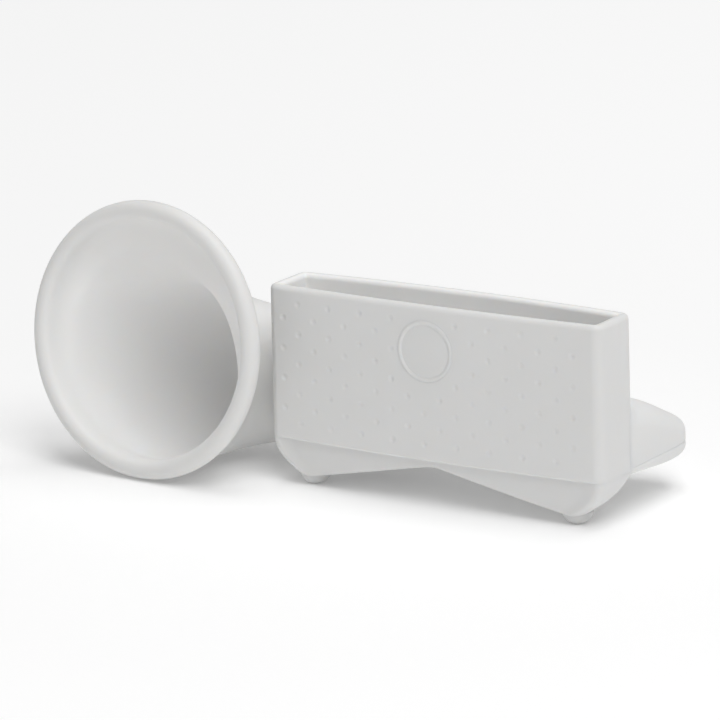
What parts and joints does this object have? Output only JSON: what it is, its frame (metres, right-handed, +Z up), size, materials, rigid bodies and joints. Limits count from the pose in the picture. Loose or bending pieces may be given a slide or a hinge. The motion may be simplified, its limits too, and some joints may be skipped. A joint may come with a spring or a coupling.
{
  "type": "passive horn phone stand",
  "caption": "Soft white tabletop dock that holds a phone upright and leads its sound through a duct into a flared horn, with no power.",
  "frame": {"origin": "on the table, under the middle of the bounding box", "axes": "+Z up; +X from the horn towards the dock; the horn and the dock's front face -Y"},
  "size_m": [0.1098, 0.0427, 0.0478],
  "materials": {
    "silicone": "satin"
  },
  "bodies": {
    "root": {"dock_sleeve": "silicone", "slot_floor": "silicone", "plinth": "silicone", "horn": "silicone", "duct_upper_shell": "silicone", "duct_lower_shell": "silicone", "emblem": "silicone", "front_left_foot": "silicone", "front_right_foot": "silicone", "rear_left_foot": "silicone", "rear_right_foot": "silicone"}
  },
  "joints": []
}
